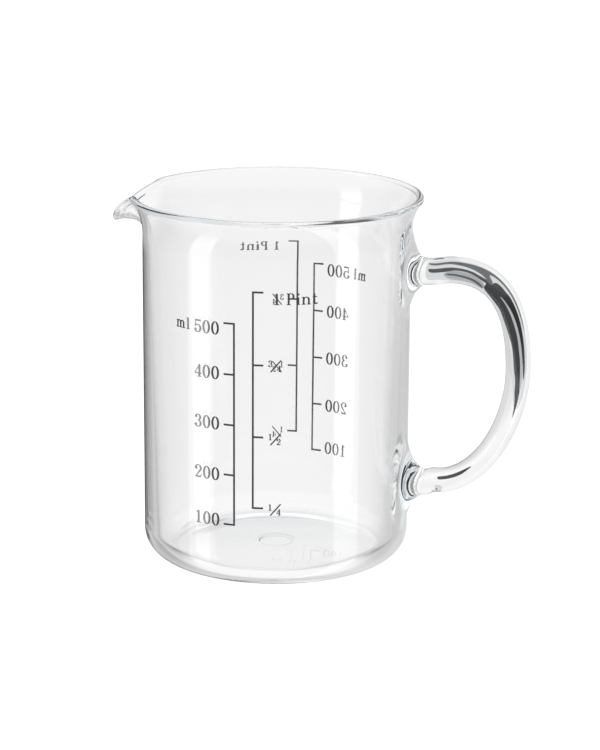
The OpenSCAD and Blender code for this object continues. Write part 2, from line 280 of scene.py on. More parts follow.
class Skin:
    """Vertices and faces of one continuous glass skin."""

    def __init__(self):
        self.points = []
        self.faces = []

    def add(self, x, y, z):
        self.points.append((x * MM, y * MM, z * MM))
        return len(self.points) - 1

    def strip(self, a, b):
        """Quads between two closed rings of equally many vertices."""
        for j in range(len(a)):
            k = (j + 1) % len(a)
            self.faces.append((a[j], a[k], b[k], b[j]))


def handle_curves():
    """The loop's middle line in the plane y = 0, as four curves from its upper end to its lower end."""
    crest = np.array([ROOT_X + CREST_OUT, UPPER_ROOT_Z + CREST_RISE])
    belly = np.array([BODY_R + FINGER_ROOM + MEAN_THICK / 2, JUG_H - BELLY_DEEP])
    bend = np.array([ROOT_X + CREST_OUT * FOOT_BEND, LOWER_ROOT_H + CREST_RISE])
    upper, lower = np.array([ROOT_X, UPPER_ROOT_Z]), np.array([ROOT_X, LOWER_ROOT_H])
    return [
        [upper, np.array([mix(ROOT_X, crest[0], ROOT_HOLD), UPPER_ROOT_Z]),
         np.array([mix(crest[0], ROOT_X, ROOT_HOLD), crest[1]]), crest],
        [crest, np.array([mix(crest[0], belly[0], CREST_HOLD), crest[1]]),
         np.array([belly[0], mix(belly[1], crest[1], BELLY_UP)]), belly],
        [belly, np.array([belly[0], mix(belly[1], bend[1], BELLY_DOWN)]),
         np.array([mix(bend[0], belly[0], FOOT_HOLD), bend[1]]), bend],
        [bend, np.array([mix(bend[0], ROOT_X, FOOT_EASE), bend[1]]),
         np.array([mix(bend[0], ROOT_X, FOOT_EASE), LOWER_ROOT_H]), lower],
    ]


def handle_stations():
    """Places along the loop, each with its heading."""
    stations = []
    for c, (curve, steps) in enumerate(zip(handle_curves(), CURVE_STEPS)):
        for i in range(0 if c == 0 else 1, steps + 1):
            t = i / steps
            stations.append((bezier(curve, t), unit(bezier_slope(curve, t))))
    return stations


def handle_depth(share):
    """Thickness of the handle at a share of its length, seen from the side."""
    plain = mix(HANDLE_THICK, HANDLE_THIN, (1 - math.cos(math.pi * min(1, share / THIN_SHARE))) / 2)
    return mix(plain, ROOT_THICK, abs(2 * share - 1) ** ROOT_POWER)


def handle_rings(skin, bends):
    """Rings of vertices round the handle, between its two ends."""
    stations = handle_stations()
    rings = []
    for i, (middle, along) in enumerate(stations[1:-1], 1):
        across = np.array([-along[1], along[0]])
        depth = handle_depth(i / (len(stations) - 1))
        ring = []
        for bend in bends:
            x, z = middle + depth / 2 * math.sin(bend) * across
            ring.append(skin.add(x, HANDLE_W / 2 * math.cos(bend), z))
        rings.append(ring)
    return rings


def gather_rise(u, bend, upper):
    """How far a gather stands off the wall, as a share, at share u of its way out from the handle."""
    plain = (1 - u) ** GATHER_POWER
    if not upper:
        return plain
    shelf = SHELF_SHARE * (1 - u) ** SHELF_POWER + (1 - SHELF_SHARE) * (1 - u**SLOPE_SPAN) ** SLOPE_POWER
    return mix(plain, shelf, max(0.0, math.sin(bend)) ** 2)


def gather_rings(patch_z, bends, corners):
    """Rings of points down a gather, from the end of the handle to the border of its patch in the wall."""
    rings = []
    for s in range(GATHER_STEPS + 1):
        u = s / GATHER_STEPS
        spread = u**SPREAD_POWER
        ring = []
        for bend in bends:
            y = math.cos(bend) * (HANDLE_W / 2 + WELD_SPREAD_W * spread)
            z = patch_z + math.sin(bend) * (ROOT_THICK / 2 + WELD_SPREAD_H * spread)
            rise = WELD_OUT * gather_rise(u, bend, patch_z == UPPER_ROOT_Z)
            ring.append((min(math.sqrt(outside_r(z) ** 2 - y * y) + rise, ROOT_X) if s else ROOT_X, y, z))
        rings.append(ring)
    foot = rings[-1]
    for s in range(1, BLEND_STEPS):
        share = s / BLEND_STEPS
        ring = []
        for (_, y, z), (turn, level) in zip(foot, corners):
            bearing, height = mix(math.asin(y / outside_r(z)), turn, share), mix(z, level, share)
            r = outside_r(height)
            ring.append((r * math.cos(bearing), r * math.sin(bearing), height))
        rings.append(ring)
    return rings


def build_glass():
    """The jug's glass as one skin: the vessel's grid with two holes, a gather in each, and the handle."""
    skin = Skin()
    turns, levels = column_turns(), wall_levels()
    grid = []
    for turn in turns:
        section = skin_section(turn)
        grid.append([skin.add(p[0] * math.cos(turn), p[0] * math.sin(turn), p[1]) for p in section])
    columns, rows, first_wall_row = len(turns), len(grid[0]), len(underside())

    holes = {}
    for patch_z in PATCHES:
        nearest = min(range(len(levels)), key=lambda i: abs(levels[i] - patch_z + PATCH_HALF_H))
        holes[patch_z] = (first_wall_row + nearest, first_wall_row + nearest + PATCH_ROWS)
    for i in range(columns):
        k = (i + 1) % columns
        for j in range(rows - 1):
            if i >= PATCH_COLUMNS or not any(a <= j < b for a, b in holes.values()):
                skin.faces.append((grid[i][j], grid[k][j], grid[k][j + 1], grid[i][j + 1]))
    for j, flip in ((0, True), (rows - 1, False)):
        ring = [grid[i][j] for i in range(columns)]
        skin.faces.append(tuple(ring[::-1] if flip else ring))

    ends = {}
    for patch_z, (a, b) in holes.items():
        border = [(i, a) for i in range(PATCH_COLUMNS)]
        border += [(PATCH_COLUMNS, j) for j in range(a, b)]
        border += [(i, b) for i in range(PATCH_COLUMNS, 0, -1)]
        border += [(0, j) for j in range(b, a, -1)]
        corners = [(turns[i], levels[j - first_wall_row]) for i, j in border]
        bends = [math.atan2((z - patch_z) / PATCH_HALF_H, turn / PATCH_HALF_TURN) for turn, z in corners]
        made = [[skin.add(*p) for p in ring] for ring in gather_rings(patch_z, bends, corners)]
        made.append([grid[i][j] for i, j in border])
        for inner, outer in zip(made[:-1], made[1:]):
            skin.strip(outer, inner)
        ends[patch_z] = (made[0], bends)

    upper_end, bends = ends[UPPER_ROOT_Z]
    lower_end, low_bends = ends[LOWER_ROOT_H]

    def opposite(bend):
        """The lower end's vertex for this bend. Going round the loop turns the section over."""
        return min(range(len(low_bends)),
                   key=lambda j: abs((low_bends[j] + bend + math.pi) % (2 * math.pi) - math.pi))

    tube = [upper_end, *handle_rings(skin, bends), [lower_end[opposite(bend)] for bend in bends]]
    for a, b in zip(tube[:-1], tube[1:]):
        skin.strip(a, b)

    mesh = bpy.data.meshes.new("glass_body")
    mesh.from_pydata(skin.points, [], skin.faces)
    mesh.update()
    return mesh


def finish_mesh(mesh, smooth=True):
    """Turns every face outwards, and shades the surface smooth where that is asked for."""
    bm = bmesh.new()
    bm.from_mesh(mesh)
    bmesh.ops.recalc_face_normals(bm, faces=bm.faces)
    bm.to_mesh(mesh)
    bm.free()
    for polygon in mesh.polygons:
        polygon.use_smooth = smooth


def place(mesh, material):
    """Adds a mesh to the scene as a piece of the jug's one body."""
    piece = bpy.data.objects.new(mesh.name, mesh)
    bpy.context.scene.collection.objects.link(piece)
    mesh.materials.append(material)
    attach(piece, "root")
    return piece


# The printed numbers: each character is drawn with a broad pen, as bars, balls and arcs on a body that is
# BODY_UNITS high. Its outline is traced on a grid, filled and bent round the wall.

BODY_UNITS = 100
HAIR, STEM = 6.0, 16.0
PEN_STEP, DOT_LENGTH = 12.0, 0.1
FAR = 1e3
PRINT_IN, PRINT_OUT = 0.03, 0.1
TRACE_STEP, TRACE_TURN, TRACE_REACH = 0.09, math.radians(7), 0.6


def bar(x0, y0, x1, y1, width, far_width=None):
    return [(x0, y0, width / 2, x1, y1, (width if far_width is None else far_width) / 2)]


def ball(x, y, radius):
    return [(x, y, radius, x, y + DOT_LENGTH, radius)]


def arc(x, y, across, up, start, end):
    """Part of an oval, from one bearing to another in degrees: broad where it runs upright."""
    count = round(abs(end - start) / PEN_STEP)
    dots = []
    for k in range(count + 1):
        bend = math.radians(mix(start, end, k / count))
        run, rise = -across * math.sin(bend), up * math.cos(bend)
        width = mix(HAIR, STEM, rise * rise / (run * run + rise * rise))
        dots.append((x + across * math.cos(bend), y + up * math.sin(bend), width / 2))
    return [a + b for a, b in zip(dots[:-1], dots[1:])]


CHARACTERS = {
    "0": arc(32, 50, 24, 47, 0, 360),
    "1": bar(33, 8, 33, 91, STEM) + bar(33, 95, 15, 84, HAIR) + bar(16, 3, 51, 3, HAIR),
    "2": ball(15, 71, 9) + arc(31, 72, 23, 25, 175, -30) + bar(50, 58, 9, 8, 13, HAIR)
    + bar(10, 8, 49, 7, 12) + bar(50, 8, 59, 24, HAIR),
    "3": ball(14, 79, 9) + arc(31, 75, 20, 22, 165, -90) + arc(30, 28, 25, 25, 90, -160)
    + ball(12, 21, 9),
    "4": bar(46, 8, 46, 90, STEM) + bar(48, 96, 4, 30, HAIR) + bar(4, 29, 63, 29, 7)
    + bar(31, 3, 61, 3, HAIR),
    "5": bar(15, 92, 54, 91, 12) + bar(13, 94, 12, 50, HAIR) + arc(31, 31, 25, 28, 135, -160)
    + ball(12, 22, 9),
    "P": bar(18, 8, 18, 92, STEM) + bar(4, 3, 33, 3, HAIR) + bar(4, 97, 38, 97, HAIR)
    + arc(38, 73, 21, 24, 90, -90) + bar(38, 49, 18, 49, HAIR),
    "i": bar(13, 7, 13, 58, 14) + bar(2, 3, 25, 3, HAIR) + bar(3, 62, 12, 64, HAIR) + ball(13, 90, 9),
    "n": bar(18, 7, 18, 58, 14) + bar(5, 3, 32, 3, HAIR) + bar(6, 62, 17, 64, HAIR)
    + arc(41, 43, 22, 21, 160, 0) + bar(63, 43, 63, 8, 14) + bar(50, 3, 77, 3, HAIR),
    "t": bar(16, 88, 16, 18, 12) + bar(3, 64, 36, 64, HAIR) + arc(28, 17, 12, 14, 180, 320),
    "m": bar(15, 7, 15, 58, 14) + bar(3, 3, 27, 3, HAIR) + bar(3, 62, 14, 64, HAIR)
    + arc(33, 43, 17, 21, 160, 0) + bar(50, 43, 50, 8, 14) + bar(39, 3, 61, 3, HAIR)
    + arc(68, 43, 17, 21, 160, 0) + bar(85, 43, 85, 8, 14) + bar(74, 3, 97, 3, HAIR),
    "l": bar(14, 7, 14, 93, 14) + bar(3, 96, 13, 98, HAIR) + bar(2, 3, 26, 3, HAIR),
    "/": bar(5, 2, 88, 98, 11),
}


def outline(strokes, size, extra):
    """Closed outlines in millimetres of a character that is this high: outer ones run left about."""
    ends = np.array(strokes) * size / BODY_UNITS
    low = ends.reshape(-1, 3)[:, :2].min(axis=0) - STEM * size / BODY_UNITS - extra
    high = ends.reshape(-1, 3)[:, :2].max(axis=0) + STEM * size / BODY_UNITS + extra
    columns, rows = (int(v) + 2 for v in (high - low) / TRACE_STEP)
    xs = low[0] + np.arange(columns)[:, None] * TRACE_STEP
    ys = low[1] + np.arange(rows)[None, :] * TRACE_STEP
    depth = np.full((columns, rows), FAR)
    for x0, y0, r0, x1, y1, r1 in ends:
        reach = (x1 - x0) ** 2 + (y1 - y0) ** 2
        share = np.clip(((xs - x0) * (x1 - x0) + (ys - y0) * (y1 - y0)) / reach, 0, 1)
        away = np.hypot(xs - x0 - share * (x1 - x0), ys - y0 - share * (y1 - y0))
        depth = np.minimum(depth, away - mix(r0, r1, share) - extra)
    follow, places = {}, {}
    for i in range(columns - 1):
        for j in range(rows - 1):
            corners = [(i, j), (i + 1, j), (i + 1, j + 1), (i, j + 1)]
            crossings = []
            for a, b in zip(corners, corners[1:] + corners[:1]):
                if (depth[a] < 0) != (depth[b] < 0):
                    key = min(a, b) + max(a, b)
                    share = depth[a] / (depth[a] - depth[b])
                    places[key] = low + TRACE_STEP * mix(np.array(a), np.array(b), share)
                    crossings.append((key, depth[a] < 0))
            for k, (key, leaving) in enumerate(crossings):
                if leaving:
                    follow[key] = crossings[(k + 1) % len(crossings)][0]
    loops = []
    while follow:
        key = next(iter(follow))
        loop = []
        while key in follow:
            loop.append(places[key])
            key = follow.pop(key)
        loops.append(thin_out(loop))
    return loops


def thin_out(loop):
    """Leaves out the points of an outline where it hardly turns."""
    kept, turned = [loop[0]], 0.0
    for before, here, after in zip(loop, loop[1:], loop[2:] + loop[:1]):
        a, b = here - before, after - here
        turned += math.atan2(a[0] * b[1] - a[1] * b[0], a @ b)
        if abs(turned) > TRACE_TURN or np.linalg.norm(here - kept[-1]) > TRACE_REACH:
            kept.append(here)
            turned = 0.0
    return kept


# Each line of print: its characters, the left edge of the first from the middle of the scale, the height
# of its foot, the height of a figure, and the step from one character to the next. EXTRA is how much a
# character is fattened all round.
FIGURE_H, FIGURE_STEP, FIGURE_LEFT = 4.5, 3.36, -18.15
HUNDREDS = [("500", 87.9), ("400", 72.65), ("300", 55.3), ("200", 37.65), ("100", 21.7)]
WORD_H = 3.9
WORDS = [
    ("m", -26.1, 88.35), ("l", -21.35, 88.3), ("1", 9.8, 99.1), ("P", 14.25, 99.1), ("i", 17.65, 99.1),
    ("n", 19.2, 99.1), ("t", 22.95, 99.1),
]
SMALL_H, SMALL_LEFT, SMALL_RIGHT, SLASH_LEFT = 2.2, 8.3, 11.1, 9.0
FIGURE_EXTRA, WORD_EXTRA, SMALL_EXTRA = 0.015, 0.035, 0.04
QUARTERS = [("1", "4", 26.8), ("1", "2", 51.3), ("3", "4", 76.4)]


def print_mesh(name, middle):
    """The figures and words of one pair of scales, round the wall from a middle bearing."""
    items = []
    for text, z in HUNDREDS:
        lefts = [FIGURE_LEFT + k * FIGURE_STEP for k in range(len(text))]
        items += [(c, left, z, FIGURE_H, FIGURE_EXTRA) for c, left in zip(text, lefts)]
    items += [(c, x, z, WORD_H, WORD_EXTRA) for c, x, z in WORDS]
    for over, under, z in QUARTERS:
        items.append((over, SMALL_LEFT, z + WORD_H - SMALL_H, SMALL_H, SMALL_EXTRA))
        items.append(("/", SLASH_LEFT, z, WORD_H, FIGURE_EXTRA))
        items.append((under, SMALL_RIGHT, z, SMALL_H, SMALL_EXTRA))
    points, faces = [], []
    for character, left, foot, size, extra in items:
        loops = outline(CHARACTERS[character], size, extra)
        flat = [p for loop in loops for p in loop]
        first, count = len(points), len(flat)
        for depth in (PRINT_OUT, PRINT_IN):
            for x, y in flat:
                bearing = middle + (left + x) / BODY_R
                r = BODY_R + depth
                points.append((r * math.cos(bearing) * MM, r * math.sin(bearing) * MM, (foot + y) * MM))
        for a, b, c in tessellate_polygon([[Vector((x, y, 0)) for x, y in loop] for loop in loops]):
            faces.append((first + a, first + b, first + c))
            faces.append((first + count + c, first + count + b, first + count + a))
        start = first
        for loop in loops:
            for k in range(len(loop)):
                a, b = start + k, start + (k + 1) % len(loop)
                faces.append((a, b, b + count, a + count))
            start += len(loop)
    mesh = bpy.data.meshes.new(name)
    mesh.from_pydata(points, [], faces)
    mesh.update()
    return mesh


# Materials


def new_nodes(owner):
    owner.use_nodes = True
    tree = owner.node_tree
    tree.nodes.clear()
    return tree


def math_node(tree, operation, a, b=None):
    node = tree.nodes.new("ShaderNodeMath")
    node.operation = operation
    for socket, value in zip(node.inputs, (a, b)):
        if isinstance(value, (int, float)):
            socket.default_value = value
        elif value is not None:
            tree.links.new(value, socket)
    return node.outputs[0]


def ramp_node(tree, fac, stops):
    """A grey colour ramp: stops are pairs of place and level."""
    node = tree.nodes.new("ShaderNodeValToRGB")
    node.color_ramp.interpolation = "LINEAR"
    elements = node.color_ramp.elements
    while len(elements) < len(stops):
        elements.new(1)
    for element, (place_at, level) in zip(elements, stops):
        element.position = place_at
        element.color = (level, level, level, 1)
    tree.links.new(fac, node.inputs[0])
    return node.outputs[0]


def value_mix(tree, fac, no, yes):
    node = tree.nodes.new("ShaderNodeMix")
    node.data_type = "FLOAT"
    tree.links.new(fac, node.inputs[0])
    for socket, value in ((node.inputs[2], no), (node.inputs[3], yes)):
        if isinstance(value, (int, float)):
            socket.default_value = value
        else:
            tree.links.new(value, socket)
    return node.outputs[0]


def mix_shaders(tree, fac, no, yes):
    node = tree.nodes.new("ShaderNodeMixShader")
    for socket, value in zip(node.inputs, (fac, no, yes)):
        tree.links.new(value, socket)
    return node.outputs[0]


def set_surface(tree, shader, volume=None):
    output = tree.nodes.new("ShaderNodeOutputMaterial")
    tree.links.new(shader, output.inputs["Surface"])
    if volume is not None:
        tree.links.new(volume, output.inputs["Volume"])


GLASS_IOR = 1.47
GLASS_ABSORB = 2.0
GLASS_TINT = (0.80, 0.88, 0.92, 1)
SHADOW_TINT = (0.90, 0.91, 0.92, 1)
PRINT_INK = (0.012, 0.012, 0.016, 1)
PRINT_IOR, PRINT_ROUGH, PRINT_UNEVEN = 2.2, 0.1, 0.08
PRINT_GRAIN, PRINT_DETAIL = 900, 3

# Painted light: light that has been turned this often inside the glass is not followed further. The glass
# glows there instead, with an even brightness painted by the place where it is, in millimetres. In the wall
# and the welds it goes by X, and is raised by Y at the rear and, in the upper part that FRONT_SHARE gives by
# height, at the front. RIM_SHARE and BASE_SHARE say by height where the rim and the base have their own
# levels by X.
TRAPPED_DEPTH, TRAPPED_TINT = 7.5, (0.95, 0.98, 1.0, 1)
TRAPPED_REACH, TRAPPED_TOP = 60, 130
TRAPPED_WALL = [
    (-60, 0.03), (-26, 0.03), (-14, 0.7), (0, 0.85), (25, 0.8), (43, 0.42), (44.5, 0.7), (46.2, 0.75),
    (46.8, 0.2), (47.6, 0.6), (49.0, 0.75), (49.8, 0.05), (51.0, 0.03), (51.8, 0.6), (60, 0.8),
]
TRAPPED_REAR = [(-60, 0), (34, 0), (40, 1.25), (60, 1.25)]
TRAPPED_FRONT = [(-60, 0.8), (-30, 0.8), (-22, 0), (60, 0)]
TRAPPED_RIM = [
    (-60, 0.25), (-50, 0.3), (-40, 0.75), (15, 0.85), (26, 0.12), (41, 0.12), (44, 0.8), (49, 0.7),
    (52, 0.25), (60, 0.25),
]
TRAPPED_BASE = [(-60, 0.03), (-38, 0.03), (-28, 0.85), (60, 0.85)]
FRONT_SHARE = [(0, 0), (44, 0), (50, 1), (130, 1)]
RIM_SHARE = [(0, 0), (104, 0), (110, 1), (130, 1)]
BASE_SHARE = [(0, 1), (10, 1), (16, 0), (130, 0)]


def by_length(tree, length, low, high, stops):
    """A grey level that depends on a length in metres; the stops are in millimetres."""
    share = math_node(tree, "MULTIPLY_ADD", length, 1 / ((high - low) * MM))
    share.node.inputs[2].default_value = -low / (high - low)
    return ramp_node(tree, share, [((x - low) / (high - low), level) for x, level in stops])


# Brightness of the painted glow inside the glass, by the place on it.
def painted_trapped_level(tree):
    coord = tree.nodes.new("ShaderNodeTexCoord")
    split = tree.nodes.new("ShaderNodeSeparateXYZ")
    tree.links.new(coord.outputs["Object"], split.inputs[0])

    def across(axis, stops):
        return by_length(tree, split.outputs[axis], -TRAPPED_REACH, TRAPPED_REACH, stops)

    def upward(stops):
        return by_length(tree, split.outputs[2], 0, TRAPPED_TOP, stops)

    wall = math_node(tree, "MAXIMUM", across(0, TRAPPED_WALL), across(1, TRAPPED_REAR))
    front = math_node(tree, "MULTIPLY", across(1, TRAPPED_FRONT), upward(FRONT_SHARE))
    wall = math_node(tree, "MAXIMUM", wall, front)
    level = value_mix(tree, upward(RIM_SHARE), wall, across(0, TRAPPED_RIM))
    return value_mix(tree, upward(BASE_SHARE), level, across(0, TRAPPED_BASE))


def glass_material():
    material = bpy.data.materials.new("clear_glass")
    tree = new_nodes(material)
    nodes = tree.nodes
    shader = nodes.new("ShaderNodeBsdfPrincipled")
    shader.inputs["Base Color"].default_value = (1, 1, 1, 1)
    shader.inputs["Roughness"].default_value = 0
    shader.inputs["IOR"].default_value = GLASS_IOR
    shader.inputs["Transmission Weight"].default_value = 1
    absorb = nodes.new("ShaderNodeVolumeAbsorption")
    absorb.inputs["Color"].default_value = GLASS_TINT
    absorb.inputs["Density"].default_value = GLASS_ABSORB
    clear = nodes.new("ShaderNodeBsdfTransparent")
    clear.inputs["Color"].default_value = SHADOW_TINT
    # Painted light: where light has turned inside the glass more than TRAPPED_DEPTH times, the glass glows
    # with a brightness painted by its place.
    painted_glow = nodes.new("ShaderNodeEmission")
    painted_glow.inputs["Color"].default_value = TRAPPED_TINT
    tree.links.new(painted_trapped_level(tree), painted_glow.inputs["Strength"])
    path = nodes.new("ShaderNodeLightPath")
    either = math_node(tree, "MAXIMUM", path.outputs["Is Shadow Ray"], path.outputs["Is Diffuse Ray"])
    deep = math_node(tree, "GREATER_THAN", path.outputs["Ray Depth"], TRAPPED_DEPTH)
    inside = mix_shaders(tree, deep, shader.outputs[0], painted_glow.outputs[0])
    set_surface(tree, mix_shaders(tree, either, inside, clear.outputs[0]), absorb.outputs[0])
    return material


def enamel_material():
    material = bpy.data.materials.new("enamel_print")
    tree = new_nodes(material)
    nodes, links = tree.nodes, tree.links
    shader = nodes.new("ShaderNodeBsdfPrincipled")
    shader.inputs["Base Color"].default_value = PRINT_INK
    shader.inputs["IOR"].default_value = PRINT_IOR
    coord = nodes.new("ShaderNodeTexCoord")
    noise = nodes.new("ShaderNodeTexNoise")
    noise.inputs["Scale"].default_value = PRINT_GRAIN
    noise.inputs["Detail"].default_value = PRINT_DETAIL
    links.new(coord.outputs["Object"], noise.inputs["Vector"])
    rough = math_node(tree, "MULTIPLY_ADD", noise.outputs["Fac"], PRINT_UNEVEN)
    rough.node.inputs[2].default_value = PRINT_ROUGH - PRINT_UNEVEN / 2
    links.new(rough, shader.inputs["Roughness"])
    set_surface(tree, shader.outputs[0])
    return material


glass = glass_material()
enamel = enamel_material()

glass_mesh = build_glass()
finish_mesh(glass_mesh)
glass_body = place(glass_mesh, glass)
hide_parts("vessel", "handle", "upper_handle_weld", "lower_handle_weld")

for name, middle in (("front_figures", -math.pi / 2), ("rear_figures", math.pi / 2)):
    figures = print_mesh(name, middle)
    finish_mesh(figures, smooth=False)
    place(figures, enamel)

for name in ("front_millilitre_scale", "front_pint_scale", "rear_millilitre_scale", "rear_pint_scale"):
    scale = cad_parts[name]
    scale.data.materials.clear()
    scale.data.materials.append(enamel)


# The table, the studio's light and the camera

AZIMUTH, ELEVATION = math.radians(13.715), math.radians(15.0)
DISTANCE = 0.9501
YAW, ROLL = math.radians(0.494), math.radians(0.181)
AIM_Z = 63.1 * MM
FOCAL_PX, FRAME_H_PX, SENSOR = 2737.56, 750, 36.0


# Brightness of the studio by compass bearing in degrees, 0 straight ahead and growing to the photograph's
# right, and by elevation. Straight: seen through clear glass. Bounced: seen after a bounce in or off the
# glass. Edge: a share of the bounced level, for what the glass mirrors on its outside alone.
STRAIGHT_SIDE = [
    (-180, 1.0), (-100, 1.0), (-90, 0.3), (-50, 0.3), (-42, 1.0), (8, 1.0), (14, 0.87), (22, 0.78),
    (36, 0.76), (60, 0.95), (180, 1.0),
]
STRAIGHT_STEEP = [
    (-90, 0.93), (-45, 0.86), (-32, 0.9), (-21, 0.99), (-15, 0.97), (-11, 0.92), (-4, 0.93), (30, 0.93),
    (40, 0.5), (80, 0.5), (90, 0.7),
]
BOUNCED_SIDE = [
    (-180, 0.4), (-60, 0.3), (-46, 0.5), (-36, 0.68), (-32, 0.62), (-28, 0.46), (-22, 0.45), (-16, 0.5),
    (-8, 0.6), (0, 0.65), (10, 0.72), (18, 0.7), (32, 0.6), (42, 0.6), (60, 0.3), (180, 0.4),
]
EDGE_SIDE = [(-180, 1), (-18, 1), (-14, 0.05), (3, 0.05), (6, 1), (180, 1)]
BOUNCED_STEEP = [(-90, 0.97), (-45, 0.93), (-30, 0.6), (25, 0.9), (40, 0.98), (90, 0.98)]
STEEPNESS = [(-90, 1), (-50, 1), (-34, 0), (14, 0), (30, 1), (90, 1)]
LEFT_BAR = [(-180, 0), (-121.5, 0), (-120, 1), (-99.5, 1), (-98, 0), (180, 0)]
RIGHT_BAR = [(-180, 0), (104, 0), (105.5, 1), (128, 1), (129.5, 0), (180, 0)]
RIGHT_BAR_TOP = [(-90, 1), (-12.8, 1), (-12, 0), (90, 0)]
BAR_LEVEL = 1.7
DIFFUSE_LEVEL = 0.75


def by_angle(tree, angle, span, stops):
    """A grey level that depends on an angle in radians; the stops are in degrees, half of span each way."""
    share = math_node(tree, "MULTIPLY_ADD", angle, 180 / math.pi / span)
    share.node.inputs[2].default_value = 0.5
    return ramp_node(tree, share, [(a / span + 0.5, level) for a, level in stops])


def world_light():
    world = bpy.data.worlds.new("studio")
    bpy.context.scene.world = world
    tree = new_nodes(world)
    nodes, links = tree.nodes, tree.links
    coord = nodes.new("ShaderNodeTexCoord")
    split = nodes.new("ShaderNodeSeparateXYZ")
    links.new(coord.outputs["Generated"], split.inputs[0])

    def along(x, y):
        a = math_node(tree, "MULTIPLY", split.outputs[0], x)
        b = math_node(tree, "MULTIPLY", split.outputs[1], y)
        return math_node(tree, "ADD", a, b)

    rightward = along(math.cos(AZIMUTH), math.sin(AZIMUTH))
    bearing = math_node(tree, "ARCTAN2", rightward, along(-math.sin(AZIMUTH), math.cos(AZIMUTH)))
    elevation = math_node(tree, "ARCSINE", split.outputs[2])

    def side(stops):
        return by_angle(tree, bearing, 360, stops)

    def steep(stops):
        return by_angle(tree, elevation, 180, stops)

    straight = math_node(tree, "MULTIPLY", side(STRAIGHT_SIDE), steep(STRAIGHT_STEEP))
    level_part = math_node(tree, "MULTIPLY_ADD", side(LEFT_BAR), BAR_LEVEL)
    links.new(side(BOUNCED_SIDE), level_part.node.inputs[2])
    bounced = value_mix(tree, steep(STEEPNESS), level_part, steep(BOUNCED_STEEP))
    right_bar = math_node(tree, "MULTIPLY", side(RIGHT_BAR), steep(RIGHT_BAR_TOP))
    outer = math_node(tree, "MULTIPLY_ADD", right_bar, BAR_LEVEL)
    links.new(math_node(tree, "MULTIPLY", bounced, side(EDGE_SIDE)), outer.node.inputs[2])

    path = nodes.new("ShaderNodeLightPath")
    has_bounced = math_node(tree, "GREATER_THAN", path.outputs["Glossy Depth"], 0.5)
    level = value_mix(tree, path.outputs["Is Glossy Ray"], DIFFUSE_LEVEL, outer)
    through = value_mix(tree, has_bounced, straight, bounced)
    level = value_mix(tree, path.outputs["Is Transmission Ray"], level, through)
    level = value_mix(tree, path.outputs["Is Camera Ray"], level, 1.0)
    background = nodes.new("ShaderNodeBackground")
    background.inputs["Color"].default_value = (1, 1, 1, 1)
    links.new(level, background.inputs["Strength"])
    output = nodes.new("ShaderNodeOutputWorld")
    links.new(background.outputs[0], output.inputs["Surface"])


# Painted refraction streaks: glowing sheets behind the handle, which only light bent through the handle
# sees, for the photographed side and, mirrored, for the opposite one. Each has its brightness, its distance
# behind the handle, and its outline as distances to the right of the jug's axis and heights.
# A gate, which is a sheet that bends nothing, stands close behind the handle and adds one to the count of
# surfaces that light has passed. The cards show only to light with the count GATED_DEPTH, which is what
# has passed the handle alone.
STREAK_CARDS = {
    "pale_card": (0.7, 101.0, [
        (50, 44), (90, 26), (120, 36), (150, 46), (165, 60), (165, 130), (120, 145), (50, 145)]),
    "dark_card": (0.03, 100.0, [
        (79, 27.5), (88, 29), (95, 31), (104, 33), (109, 38), (115, 41), (120, 45), (123, 52), (127, 58),
        (132, 62), (136, 68), (140, 75), (140, 84), (137, 93), (138, 104), (132, 116), (118, 124),
        (106, 120), (99, 108), (92, 99), (76, 98), (75, 91), (85, 90), (88, 86), (82, 78), (77, 71),
        (77, 66), (84, 64), (92, 52), (85, 38), (84, 34)]),
    "inner_dark_card": (0.006, 99.7, [
        (71, 43), (76, 40), (82, 43), (84, 48), (88, 55), (92, 62), (96, 67), (99, 73), (96, 78), (89, 74),
        (83, 69), (77, 67), (73, 61), (72, 50)]),
    "slit_card": (0.5, 99.4, [
        (80, 41), (84, 36), (90, 38), (94, 42), (95, 48), (98, 52), (99, 58), (103, 64), (105, 70),
        (106, 78), (106, 86), (103, 86), (101, 78), (98, 72), (95, 67), (92, 62), (88, 55), (84, 48),
        (82, 43)]),
    "crest_grey_card": (0.42, 99.5, [
        (62, 94), (76, 98), (88, 104), (96, 108), (106, 118), (112, 130), (80, 135), (62, 130),
        (58, 112)]),
    "crest_line_card": (0.12, 99.3, [
        (56, 54), (61, 51), (66, 57), (70, 67), (76, 75), (84, 82), (94, 92), (90, 94), (80, 86), (71, 79),
        (65, 70), (60, 62)]),
    "crest_dark_card": (0.05, 99.2, [
        (57, 80), (63, 82), (70, 85), (78, 90), (86, 95), (94, 100), (90, 104), (80, 100), (72, 95),
        (66, 94), (62, 98), (58, 96)]),
    "crest_low_card": (0.1, 99.1, [
        (60, 104), (66, 107), (72, 111), (80, 113), (90, 115), (100, 117), (110, 124), (104, 128),
        (90, 124), (78, 121), (68, 116), (61, 112)]),
    "foot_dark_card": (0.03, 99.0, [
        (63.5, 1), (69, 0), (77, 4), (76, 11), (70, 14), (66, 18), (63.5, 18)]),
}
CARD_TINT = (0.86, 0.93, 1.0)
CORNER_CUTS, CORNER_SHARE = 2, 0.25
GATE_BACK, GATE_OUTLINE = 16.0, [(50.5, -5), (110, -5), (110, 109), (50.5, 109)]
GATED_DEPTH = 3


def rounded(outline_points):
    """The outline with its corners cut off, more than once."""
    points = [np.array(p, float) for p in outline_points]
    for _ in range(CORNER_CUTS):
        points = [mix(a, b, share) for a, b in zip(points, points[1:] + points[:1])
                  for share in (CORNER_SHARE, 1 - CORNER_SHARE)]
    return points


